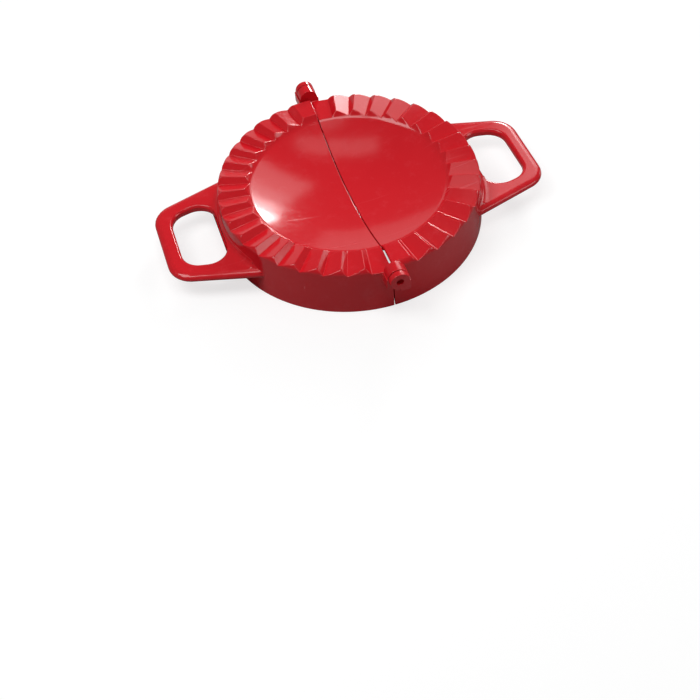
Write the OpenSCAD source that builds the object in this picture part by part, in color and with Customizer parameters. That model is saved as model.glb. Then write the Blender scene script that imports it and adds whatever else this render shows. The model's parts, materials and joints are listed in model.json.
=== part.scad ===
// Hinged hand press that cuts a disc of dough, folds it over a filling and crimps its edge.
// Two equal mouldings lie open side by side, each the other turned half a turn about Z.
// The cutting edge stands on z = 0, and the hinge line runs along Y at x = 0.

/* [Rim] */
// Outer radius of the crimped rim
rim_r = 64; // [61:0.5:68]
// Height of the crimping plane above the cutting edge
rim_h = 24.3; // [22:0.1:30]
// Wall thickness of the moulding
wall = 2.2; // [1.8:0.1:2.6]
// Rounding of the rim's outer shoulder, into which the crimps run out
shoulder_r = 3; // [1.6:0.1:3.4]
// Gap between the two mouldings along the fold line
seam_gap = 0.4; // [0.2:0.1:0.8]

/* [Crimps] */
// Crimps in the full circle
crimps = 36; // [28:2:44]
// Height of a crimp at the rim
crimp_h = 3.2; // [2:0.1:3.6]
// Share of a crimp's pitch that its steep face takes
steep_share = 0.26; // [0.2:0.01:0.4]
// Gap between the two crimped rims when the press is shut
shut_gap = 0.4; // [0.2:0.05:0.8]

/* [Bowl] */
// Height of the lowest point of the bowl above the cutting edge
bowl_floor = 13.3; // [11:0.1:16]
// Radius of the sphere that the bowl is part of
bowl_r = 128; // [118:1:150]
// Radius at which the crimps start
crimp_start_r = 48.5; // [46:0.5:52]
// Slope of the wall between bowl and crimps
lip_slope = 53; // [45:1:65]
// Radius of the fillet at the foot of that wall
lip_fillet = 6; // [3:0.5:7]

/* [Cutter] */
// Outer radius of the cutting edge
edge_r = 65.3; // [64.5:0.1:66]
// Width of the flat of the cutting edge
edge_w = 1; // [0.8:0.1:1.4]

// Height over which the cutting edge is bevelled on its inner side
bevel_h = 4.5; // [3:0.5:6]

/* [Handle] */
// Distance from the fold line to the end of a handle
handle_end = 95.3; // [90:0.1:105]
// Width of a handle at its end
handle_end_w = 47.5; // [40:0.1:50]
// Distance from the fold line at which a handle's sides start, inside the cutter wall
handle_root_x = 40; // [34:0.1:44]
// Width of a handle at that distance
handle_root_w = 79.5; // [70:0.1:82]
// Thickness of a handle
handle_t = 4.4; // [4.2:0.1:6]
// Height of the middle of a handle above the cutting edge
handle_z = 11.5; // [9:0.1:13]
// Corner radius of a handle's end
handle_corner = 12.4; // [10:0.1:14]
// Width of the rounding along a handle's edges
handle_edge = 2.8; // [0.8:0.1:3.2]
// Depth of that rounding from each face
handle_drop = 2; // [0.8:0.1:2]
// Fillet between a handle's faces and the cutter wall
root_fillet = 3.4; // [1:0.1:4]
// Width of the band between finger hole and end
band_w = 7.8; // [6:0.1:9]
// Width of the finger hole at its outer side
hole_end_w = 34.8; // [30:0.1:38]
// Width of the finger hole beside the press
hole_root_w = 44.5; // [38:0.1:48]
// Distance of the finger hole from the rim
hole_in = 1.6; // [1.4:0.1:4]
// Corner radius of the finger hole
hole_corner = 9.4; // [6:0.1:10]
// Width and depth by which the finger hole opens out at both faces
hole_flare = 0.9; // [0.4:0.1:1.4]

/* [Hinge] */
// Radius of the knuckles
knuckle_r = 4.7; // [4.2:0.1:5]
// Radius of the moulded pegs
peg_r = 1.65; // [1.4:0.05:1.9]
// Radial clearance of a peg in its eye
peg_fit = 0.08; // [0.03:0.01:0.1]
// Length of an inner knuckle
knuckle_l = 5.8; // [4.5:0.1:7]
// Length of an outer eye
eye_l = 2.9; // [2.4:0.1:4]
// Depth of the peg's end inside the eye
peg_recess = 0.9; // [0.3:0.1:1.2]
// Reach of the squared side of a knuckle from the hinge line
lug_w = 5.2; // [5:0.1:6]
// Drop of the squared side of a knuckle below the hinge line
lug_drop = 6; // [5.5:0.1:7]

/* [Hidden] */
$fn = 96;

// Turn from one crimp to the next, and half the turn of a steep face
pitch = 360 / crimps;
steep_half = pitch * steep_share / 2;
// The hinge line lies half the shut gap above the crimping plane
hinge_z = rim_h + shut_gap / 2;
// Radius to which the crimp surface is drawn, and height that it stays below
crown_r = rim_r + 8;
blank_top = rim_h + crimp_h;
// Cutting shapes run this far past what they cut, and joined shapes reach this far into each other
past = 1;
sunk = 0.5;
// Facets of a handle's round corners, and steps of its rounded edge
corner_facets = 36;
edge_step = 18;
// Handles start inside the cutter wall, this far in from its outer side
root_in = 1.1;
// The knuckles start clear of the rim, and the eyes clear of the knuckles
knuckle_y0 = rim_r + 0.8;
knuckle_y1 = knuckle_y0 + knuckle_l;
eye_y0 = knuckle_y1 + 0.4;
eye_y1 = eye_y0 + eye_l;
// Gap between an inner knuckle and the arm that passes under it
arm_gap = 0.4;

// Foot of the lip wall at a crimp's valley, the lip's direction and its normal into the bowl
lip_foot = [crimp_start_r, rim_h - crimp_h / 2 * crimp_start_r / rim_r];
lip_dir = [cos(lip_slope), sin(lip_slope)];
lip_in = [-sin(lip_slope), cos(lip_slope)];
// The fillet's circle touches the bowl's from inside and has the lip wall as a tangent
bowl_mid = [0, bowl_floor + bowl_r];
fillet_off = lip_foot + lip_fillet * lip_in - bowl_mid;
fillet_b = fillet_off * lip_dir;
fillet_c = fillet_off * fillet_off - pow(bowl_r - lip_fillet, 2);
fillet_mid = bowl_mid + fillet_off - (fillet_b + sqrt(fillet_b * fillet_b - fillet_c)) * lip_dir;
// Angle, about both centres, at which the bowl's arc passes into the fillet's
bowl_end = atan2(fillet_mid[1] - bowl_mid[1], fillet_mid[0] - bowl_mid[0]);

// Points along an arc in the section plane
function arc(mid, r, from, to, steps) = [
    for (i = [0:steps])
        let (a = from + (to - from) * i / steps)
        mid + r * [cos(a), sin(a)]
];

// Line of the lip wall at a height, moved out of the bowl by a distance
function lip_at(z, out) = [
    lip_foot[0] + (z - lip_foot[1]) / tan(lip_slope) + out / sin(lip_slope),
    z
];

// Section of bowl, fillet and lip wall from the middle out, moved down and out by a distance
function bowl_line(out) = concat(
    arc(bowl_mid, bowl_r + out, -90, bowl_end, 16),
    arc(fillet_mid, lip_fillet + out, bowl_end, lip_slope - 90, 6),
    [lip_at(blank_top, out)]
);

// Radius of the cutter wall's outer side at a height
function cutter_r(z) = edge_r + (rim_r - edge_r) * min(z, rim_h) / rim_h;

// Section of the solid blank under the bowl and the rim
module blank_section() {
    shoulder_mid = [rim_r - shoulder_r, rim_h + crimp_h / 2 - shoulder_r];
    polygon(concat(
        [[0, 0], [edge_r, 0]],
        arc(shoulder_mid, shoulder_r, 0, 90, 12),
        [[shoulder_mid[0], blank_top]],
        [for (i = [len(bowl_line(0)) - 1:-1:0]) bowl_line(0)[i]]
    ));
}

// Section of the hollow underneath, with the bevel that thins the cutting edge
module hollow_section() {
    polygon(concat(
        [[0, -past], [edge_r - edge_w, -past], [edge_r - edge_w, 0]],
        [[cutter_r(bevel_h) - wall, bevel_h], [rim_r - wall, blank_top]],
        [for (i = [len(bowl_line(wall)) - 1:-1:0]) bowl_line(wall)[i]]
    ));
}

module half_turn() {
    rotate([0, 0, 90]) rotate_extrude(angle = 180) children();
}

// One end of the crimp curve as [angle, level], from the +Y end of the fold line round -X to -Y.
// Every broad face climbs one way round and every steep face drops, so turning the second half
// over on the hinge line brings it face to face with the first.
crimp_curve = concat(
    [[90, 1]],
    [
        for (k = [1:crimps / 2 - 1], side = [-1, 1])
            [90 + k * pitch + side * steep_half, -side]
    ],
    [[270, -1]]
);

// Everything under the crimp surface: a fan of planes through the middle of the hinge line
module crown(drop) {
    mid_z = rim_h - drop;
    last = len(crimp_curve) - 1;
    rise = crimp_h / 2 * crown_r / rim_r;
    top = [for (c = crimp_curve) [crown_r * cos(c[0]), crown_r * sin(c[0]), mid_z + c[1] * rise]];
    foot_z = -2 * past;
    foot = [for (c = crimp_curve) [crown_r * cos(c[0]), crown_r * sin(c[0]), foot_z]];
    polyhedron(
        points = concat([[0, 0, mid_z], [0, 0, foot_z]], top, foot),
        faces = concat(
            [for (i = [0:last - 1]) [0, i + 3, i + 2]],
            [for (i = [0:last - 1]) [1, i + 3 + last, i + 4 + last]],
            [for (i = [0:last - 1]) [i + 2, i + 3, i + 4 + last, i + 3 + last]],
            [[0, 2, 3 + last, 1], [last + 2, 0, 1, 2 * last + 3]]
        )
    );
}

// Bowl, crimped rim and cutter wall of the left half as one shell of even thickness
module shell() {
    difference() {
        intersection() {
            half_turn() blank_section();
            crown(0);
        }
        intersection() {
            half_turn() hollow_section();
            crown(wall);
        }
        block([-seam_gap / 2, -crown_r, -past], [past, crown_r, blank_top + past]);
    }
}

// Four corner places of a four-sided outline that narrows outward, for a corner radius
function narrow_corners(x0, x1, w0, w1, r) =
    let (lean = atan2((w0 - w1) / 2, x1 - x0), in = r / cos(lean), step = tan(lean) * r)
    [
        for (side = [-1, 1]) each [
            [-x0 - r, side * (w0 / 2 - step - in)],
            [-x1 + r, side * (w1 / 2 + step - in)]
        ]
    ];

// Slab over four corner places, its edges rounded over a width and a depth
module soft_slab(corners, r, t, edge, drop) {
    hull() {
        for (c = corners, a = [0:edge_step:90])
            translate([c[0], c[1], 0])
                cylinder(
                    r = r - edge * (1 - cos(a)), h = t - 2 * drop * (1 - sin(a)),
                    center = true, $fn = corner_facets
                );
    }
}

// Straight or flaring prism over four corner places, between two levels
module corner_prism(corners, z0, z1, r0, r1) {
    hull() {
        for (c = corners)
            translate([c[0], c[1], z0]) cylinder(r1 = r0, r2 = r1, h = z1 - z0, $fn = corner_facets);
    }
}

// Finger hole: straight through to a reach above and below, and opening out towards both faces
module finger_hole(corners, r, t, flare, reach) {
    corner_prism(corners, -reach, reach, r, r);
    corner_prism(corners, t / 2 - flare, t / 2, r, r + flare);
    corner_prism(corners, -t / 2, flare - t / 2, r + flare, r);
}

// Fillet in the corner between a handle's face and the cutter wall, running out towards the
// handle's sides. The face is the upper one, or with side = -1 the lower one.
module root_corner(corners, side) {
    face_z = handle_z + side * handle_t / 2;
    wall_r = cutter_r(face_z + side * root_fillet / 2);
    wide = handle_corner - handle_edge + handle_t / 2;
    narrow = handle_corner - handle_edge - root_fillet;
    tall = handle_t / 2 + root_fillet;
    intersection() {
        half_turn()
            polygon(concat(
                [
                    [wall_r - sunk, face_z + side * root_fillet],
                    [wall_r - sunk, face_z - side * sunk],
                    [wall_r + root_fillet, face_z - side * sunk]
                ],
                arc(
                    [wall_r + root_fillet, face_z + side * root_fillet],
                    root_fillet, -side * 90, -side * 180, 5
                )
            ));
        translate([0, 0, handle_z])
            if (side > 0) corner_prism(corners, 0, tall, wide, narrow);
            else corner_prism(corners, -tall, 0, narrow, wide);
    }
}

// Loop handle of the left half, rooted in the cutter wall
module handle() {
    corners = narrow_corners(handle_root_x, handle_end, handle_root_w, handle_end_w, handle_corner);
    hole_corners = narrow_corners(
        rim_r + hole_in, handle_end - band_w, hole_root_w, hole_end_w, hole_corner
    );
    reach = handle_t / 2 + root_fillet + past;
    difference() {
        union() {
            translate([0, 0, handle_z])
                soft_slab(corners, handle_corner, handle_t, handle_edge, handle_drop);
            root_corner(corners, 1);
            root_corner(corners, -1);
        }
        translate([0, 0, handle_z]) {
            finger_hole(hole_corners, hole_corner, handle_t, hole_flare, reach);
            cylinder(r = rim_r - root_in, h = 2 * reach, center = true);
        }
    }
}

// Box between two corners
module block(low, high) {
    translate(low) cube(high - low);
}

// Round bar along the hinge line
module hinge_rod(r, y0, y1) {
    translate([0, y0, hinge_z]) rotate([-90, 0, 0]) cylinder(r = r, h = y1 - y0);
}

// Squared side of a knuckle, below the hinge line and on the moulding's own side of the seam
module lug_block(y0, y1, top) {
    block([-lug_w, y0, hinge_z - lug_drop], [-seam_gap / 2, y1, top]);
}

// Knuckle along the hinge line: a round bar with a squared side
module knuckle_bar(y0, y1) {
    hinge_rod(knuckle_r, y0, y1);
    lug_block(y0, y1, hinge_z - shut_gap);
}

// Inner knuckle with its peg, at the -Y end of the left half
module peg_knuckle() {
    mirror([0, 1, 0]) {
        knuckle_bar(knuckle_y0, knuckle_y1);
        lug_block(rim_r - root_in, knuckle_y0 + sunk, rim_h - crimp_h / 2 - shut_gap);
        hinge_rod(peg_r, knuckle_y1 - sunk, eye_y1 - peg_recess);
    }
}

// Outer eye on the arm that passes under the other half's knuckle, at the +Y end of the left half
module eye_arm() {
    difference() {
        union() {
            knuckle_bar(eye_y0, eye_y1);
            lug_block(rim_r - root_in, eye_y0 + sunk, hinge_z - shut_gap);
        }
        hinge_rod(knuckle_r + arm_gap, rim_r - root_in - past, eye_y0);
        hinge_rod(peg_r + peg_fit, eye_y0 - past, eye_y1 + past);
    }
}

module half_moulding() {
    shell();
    handle();
    peg_knuckle();
    eye_arm();
}

module left_half() {
    color("crimson") half_moulding();
}

module right_half() {
    color("crimson") rotate([0, 0, 180]) half_moulding();
}

left_half();
right_half();
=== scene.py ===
import json
import math

import bpy
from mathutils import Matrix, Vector

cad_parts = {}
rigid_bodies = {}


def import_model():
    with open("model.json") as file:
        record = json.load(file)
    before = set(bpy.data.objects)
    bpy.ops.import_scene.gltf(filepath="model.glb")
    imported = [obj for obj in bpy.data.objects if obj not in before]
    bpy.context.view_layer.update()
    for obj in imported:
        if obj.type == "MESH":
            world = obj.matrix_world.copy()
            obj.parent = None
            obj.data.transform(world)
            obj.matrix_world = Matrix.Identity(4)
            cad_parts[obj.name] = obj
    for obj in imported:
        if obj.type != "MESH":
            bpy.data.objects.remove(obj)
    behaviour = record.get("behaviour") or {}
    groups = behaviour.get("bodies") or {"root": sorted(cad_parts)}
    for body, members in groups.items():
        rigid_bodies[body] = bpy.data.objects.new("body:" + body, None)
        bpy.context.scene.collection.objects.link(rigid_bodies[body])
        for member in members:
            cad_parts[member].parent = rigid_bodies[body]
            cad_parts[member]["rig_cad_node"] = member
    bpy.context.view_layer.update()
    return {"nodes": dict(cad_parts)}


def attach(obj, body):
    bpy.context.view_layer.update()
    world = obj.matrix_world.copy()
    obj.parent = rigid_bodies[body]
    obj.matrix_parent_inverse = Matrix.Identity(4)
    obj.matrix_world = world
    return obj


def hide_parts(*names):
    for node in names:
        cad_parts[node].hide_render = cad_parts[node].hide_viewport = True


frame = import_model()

scene = bpy.context.scene
scene.view_settings.view_transform = "Standard"

# Camera: in front of the open press, a little to its left and looking down at it by half a
# right angle, with the tilt and the long focal length of the photograph.
bpy.ops.object.select_all(action="DESELECT")
bpy.ops.object.camera_add(
    location=(-0.10628, -0.38683, 0.38672),
    rotation=(math.radians(38.912), math.radians(3.259), math.radians(-18.446)),
)
camera = bpy.context.active_object
camera.data.sensor_width = 36
camera.data.lens = 56.57
camera.data.clip_start = 0.01
camera.data.clip_end = 20
scene.camera = camera

# Left half: one injection moulding of glossy red plastic. Half bowl, crimped rim, cutter wall, loop
# handle, peg knuckle and the eye on its arm leave the mould together, with every edge a little
# rounded. Use has left pale bloom, specks of flour and a few hairline scratches on the gloss.
red = (0.62, 0.006, 0.013, 1)
worn_red = (0.66, 0.011, 0.019, 1)
bloom_red = (0.70, 0.035, 0.048, 1)
edge_rounding = 0.0003
sharp_from_degrees = 24
smooth_to_degrees = 40
weld_distance = 0.000004
one_plane_degrees = 0.2
hair = 0.00001
# Handle: height of its middle, half its thickness, where it starts across the press, and the
# crowned band round its flat faces. Each crown level pairs a height over the middle in the CAD with
# the height that it gets, fully so from crown_start + crown_blend outwards.
handle_middle = 0.0115
handle_half = 0.0022
handle_from = 0.060
flat_face_from = 0.070
crown_width = 0.0008
crown_start = 0.0665
crown_blend = 0.003
crown_levels = (
    (0, 0), (0.0002, 0.00005), (0.000818, 0.0006), (0.001376, 0.00115),
    (0.001818, 0.00159), (0.002102, 0.001905), (0.00221, 0.002115),
)
# Hinge: height of its line, and how far out each peg's end stands and is sunk
hinge_height = 0.0245
peg_end = 0.073
peg_hole = 0.003
peg_sink = 0.0012


def moulded_copy(node, name):
    bpy.ops.object.select_all(action="DESELECT")
    node.select_set(True)
    bpy.context.view_layer.objects.active = node
    bpy.ops.object.duplicate()
    piece = bpy.context.active_object
    piece.name = name
    piece.data.name = name
    del piece["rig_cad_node"]
    bpy.ops.mesh.customdata_custom_splitnormals_clear()
    bpy.ops.object.mode_set(mode="EDIT")
    bpy.ops.mesh.select_all(action="SELECT")
    bpy.ops.mesh.remove_doubles(threshold=weld_distance)
    bpy.ops.mesh.dissolve_limited(angle_limit=math.radians(one_plane_degrees))
    bpy.ops.object.mode_set(mode="OBJECT")
    return piece


# Insets the two flat faces of a handle, then lowers what stands outside the inset.
def crown_handle(piece, side):
    bpy.ops.object.mode_set(mode="EDIT")
    bpy.ops.mesh.select_mode(type="FACE")
    bpy.ops.mesh.select_all(action="DESELECT")
    bpy.ops.object.mode_set(mode="OBJECT")
    for face in piece.data.polygons:
        level = abs(face.center.z - handle_middle)
        flat = abs(face.normal.z) > 0.9999 and abs(level - handle_half) < 2 * hair
        face.select = flat and side * face.center.x > flat_face_from
    bpy.ops.object.mode_set(mode="EDIT")
    bpy.ops.mesh.inset(thickness=crown_width, depth=0)
    bpy.ops.object.mode_set(mode="OBJECT")
    inner = {i for face in piece.data.polygons if face.select for i in face.vertices}
    for vertex in piece.data.vertices:
        place = vertex.co
        rise = place.z - handle_middle
        reach = math.hypot(place.x, place.y)
        outside = side * place.x < handle_from or abs(rise) > handle_half + hair
        if vertex.index in inner or outside:
            continue
        share = min(max((reach - crown_start) / crown_blend, 0), 1)
        for (low, low_to), (high, high_to) in zip(crown_levels, crown_levels[1:]):
            if low <= abs(rise) <= high:
                level = low_to + (high_to - low_to) * (abs(rise) - low) / (high - low)
                place.z -= math.copysign((abs(rise) - level) * share, rise)
                break


# Moves the end face of the peg inwards, so that it lies deeper in the other half's eye.
def deepen_peg_end(piece, side):
    for vertex in piece.data.vertices:
        place = vertex.co
        from_axis = math.hypot(place.x, place.z - hinge_height)
        if abs(place.y - side * peg_end) < 5 * hair and from_axis < peg_hole:
            place.y -= side * peg_sink


def round_edges(piece):
    bevel = piece.modifiers.new("edge rounding", "BEVEL")
    bevel.width = edge_rounding
    bevel.segments = 2
    bevel.limit_method = "ANGLE"
    bevel.angle_limit = math.radians(sharp_from_degrees)
    bevel.use_clamp_overlap = False
    bpy.ops.object.modifier_apply(modifier=bevel.name)
    bpy.ops.object.shade_smooth_by_angle(angle=math.radians(smooth_to_degrees))
    weighted = piece.modifiers.new("flat faces stay flat", "WEIGHTED_NORMAL")
    weighted.keep_sharp = True
    bpy.ops.object.modifier_apply(modifier=weighted.name)


def glossy_red_plastic():
    material = bpy.data.materials.new("glossy_red_plastic")
    material.use_nodes = True
    nodes = material.node_tree.nodes
    links = material.node_tree.links
    shader = nodes["Principled BSDF"]
    shader.inputs["IOR"].default_value = 1.5
    place = nodes.new("ShaderNodeTexCoord").outputs["Object"]

    def noise(vector, scale, detail):
        texture = nodes.new("ShaderNodeTexNoise")
        texture.inputs["Scale"].default_value = scale
        texture.inputs["Detail"].default_value = detail
        links.new(vector, texture.inputs["Vector"])
        return texture

    def spread(value, from_min, from_max, to_min, to_max):
        node = nodes.new("ShaderNodeMapRange")
        node.inputs["From Min"].default_value = from_min
        node.inputs["From Max"].default_value = from_max
        node.inputs["To Min"].default_value = to_min
        node.inputs["To Max"].default_value = to_max
        links.new(value, node.inputs["Value"])
        return node.outputs["Result"]

    def blended(colour, amount):
        node = nodes.new("ShaderNodeMix")
        node.data_type = "RGBA"
        node.inputs["B"].default_value = colour
        links.new(amount, node.inputs["Factor"])
        return node

    # Slow drift of the pigment, and a paler bloom where hands and dough have rubbed
    tint = blended(worn_red, noise(place, 45, 3).outputs["Fac"])
    tint.inputs["A"].default_value = red
    cloud = noise(place, 130, 8)
    cloud.inputs["Roughness"].default_value = 0.72
    bloom = blended(bloom_red, spread(cloud.outputs["Fac"], 0.54, 0.72, 0, 0.45))
    links.new(tint.outputs["Result"], bloom.inputs["A"])
    # Specks of flour dust and a few hairline scratches, both paler and duller than the plastic
    dust = nodes.new("ShaderNodeTexVoronoi")
    dust.inputs["Scale"].default_value = 260
    links.new(place, dust.inputs["Vector"])
    wear = spread(dust.outputs["Distance"], 0.10, 0.04, 0, 0.30)
    for turn in (25, 100, 155):
        along = nodes.new("ShaderNodeMapping")
        along.inputs["Rotation"].default_value = (0, 0, math.radians(turn))
        along.inputs["Scale"].default_value = (14, 420, 90)
        links.new(place, along.inputs["Vector"])
        grain = noise(along.outputs["Vector"], 1, 1)
        join = nodes.new("ShaderNodeMath")
        join.operation = "MAXIMUM"
        links.new(wear, join.inputs[0])
        links.new(spread(grain.outputs["Fac"], 0.72, 0.80, 0, 0.5), join.inputs[1])
        wear = join.outputs["Value"]
    scuffed = blended(bloom_red, wear)
    links.new(bloom.outputs["Result"], scuffed.inputs["A"])
    links.new(scuffed.outputs["Result"], shader.inputs["Base Color"])
    # Gloss that varies with fine handling marks and is lost where the skin is scratched
    gloss = spread(noise(place, 420, 6).outputs["Fac"], 0.3, 0.7, 0.11, 0.17)
    duller = nodes.new("ShaderNodeMath")
    duller.operation = "MULTIPLY_ADD"
    duller.inputs[1].default_value = 0.35
    links.new(wear, duller.inputs[0])
    links.new(gloss, duller.inputs[2])
    links.new(duller.outputs["Value"], shader.inputs["Roughness"])
    # Faint ripple of the moulded skin
    bump = nodes.new("ShaderNodeBump")
    bump.inputs["Strength"].default_value = 0.05
    bump.inputs["Distance"].default_value = 0.0004
    links.new(noise(place, 160, 2).outputs["Fac"], bump.inputs["Height"])
    links.new(bump.outputs["Normal"], shader.inputs["Normal"])
    return material


plastic = glossy_red_plastic()
left = moulded_copy(frame["nodes"]["left_half"], "left_moulding")
crown_handle(left, -1)
deepen_peg_end(left, -1)
round_edges(left)
left.data.materials.clear()
left.data.materials.append(plastic)
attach(left, "left")
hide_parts("left_half")

# Right half: the same moulding turned half a turn about the upright, so that its peg meets the
# left half's eye. The two snap together at both ends of the fold line.
right = moulded_copy(frame["nodes"]["right_half"], "right_moulding")
crown_handle(right, 1)
deepen_peg_end(right, 1)
round_edges(right)
right.data.materials.clear()
right.data.materials.append(plastic)
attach(right, "right")
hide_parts("right_half")

# Floor: a plain table top in pale paper, without the dough of the photograph. The camera sees it
# lifted to white, with the soft shadow of the press left in.
floor_grey = 0.35
floor_lift = 0.70
bpy.ops.object.select_all(action="DESELECT")
bpy.ops.mesh.primitive_plane_add(size=6, location=(0, 0, 0))
floor = bpy.context.active_object
floor.name = "floor"
paper = bpy.data.materials.new("pale_paper")
paper.use_nodes = True
nodes = paper.node_tree.nodes
links = paper.node_tree.links
shader = nodes["Principled BSDF"]
shader.inputs["Base Color"].default_value = (floor_grey, floor_grey, floor_grey, 1)
shader.inputs["Roughness"].default_value = 0.9
shader.inputs["Specular IOR Level"].default_value = 0.1
shader.inputs["Emission Color"].default_value = (1, 1, 1, 1)
path = nodes.new("ShaderNodeLightPath")
lift = nodes.new("ShaderNodeMath")
lift.operation = "MULTIPLY"
lift.inputs[1].default_value = floor_lift
links.new(path.outputs["Is Camera Ray"], lift.inputs[0])
links.new(lift.outputs["Value"], shader.inputs["Emission Strength"])
floor.data.materials.append(paper)


# Light: soft boxes placed from the reflections in the photograph's bowl and crimp. The window
# behind the press on its right is four boxes that grow hotter towards its lower left corner. Cards
# overhead, behind and beside show as faint patches, and three banks that the bowl doesn't mirror
# light the press evenly. Azimuth runs from +Y towards +X; radiance is on the scale of white = 1.
def soft_box(name, azimuth, elevation, distance, width, height, radiance):
    a, e = math.radians(azimuth), math.radians(elevation)
    toward = Vector((math.sin(a) * math.cos(e), math.cos(a) * math.cos(e), math.sin(e)))
    bpy.ops.object.select_all(action="DESELECT")
    bpy.ops.object.light_add(type="AREA", location=toward * distance)
    lamp = bpy.context.active_object
    lamp.name = name
    lamp.rotation_mode = "QUATERNION"
    lamp.rotation_quaternion = toward.to_track_quat("Z", "Y")
    lamp.data.shape = "RECTANGLE"
    lamp.data.size = width
    lamp.data.size_y = height
    lamp.data.energy = radiance * math.pi * width * height
    lamp.visible_camera = False
    return lamp


soft_box("window_light", 44.5, 33, 1.10, 0.44, 0.66, 1.7)
soft_box("window_lower", 42, 27.5, 1.09, 0.33, 0.45, 0.9)
soft_box("window_foot", 36.5, 24, 1.08, 0.22, 0.30, 5.5)
soft_box("window_corner", 33.5, 20.5, 1.07, 0.13, 0.17, 34.0)
soft_box("overhead_strip", 22, 67.5, 1.20, 0.50, 0.16, 1.1)
soft_box("zenith_card", 60, 82, 1.20, 0.30, 0.26, 1.0)
soft_box("backdrop_card", 4, 9, 1.50, 0.85, 0.62, 0.45)
soft_box("side_card", 73, 6, 1.40, 0.34, 0.26, 2.5)
soft_box("left_bank", -88, 60, 0.75, 0.36, 0.34, 5.3)
soft_box("right_bank", 118, 30, 1.10, 0.42, 0.36, 2.7)
soft_box("top_bank", 190, 78, 0.70, 0.32, 0.26, 4.2)

# A weak even light comes from all round. Only the camera sees the backdrop white.
world = bpy.data.worlds.new("studio")
scene.world = world
world.use_nodes = True
nodes = world.node_tree.nodes
links = world.node_tree.links
sky = nodes["Background"]
sky.inputs["Color"].default_value = (1, 1, 1, 1)
path = nodes.new("ShaderNodeLightPath")
level = nodes.new("ShaderNodeMapRange")
level.inputs["To Min"].default_value = 0.17
level.inputs["To Max"].default_value = 1.0
links.new(path.outputs["Is Camera Ray"], level.inputs["Value"])
links.new(level.outputs["Result"], sky.inputs["Strength"])
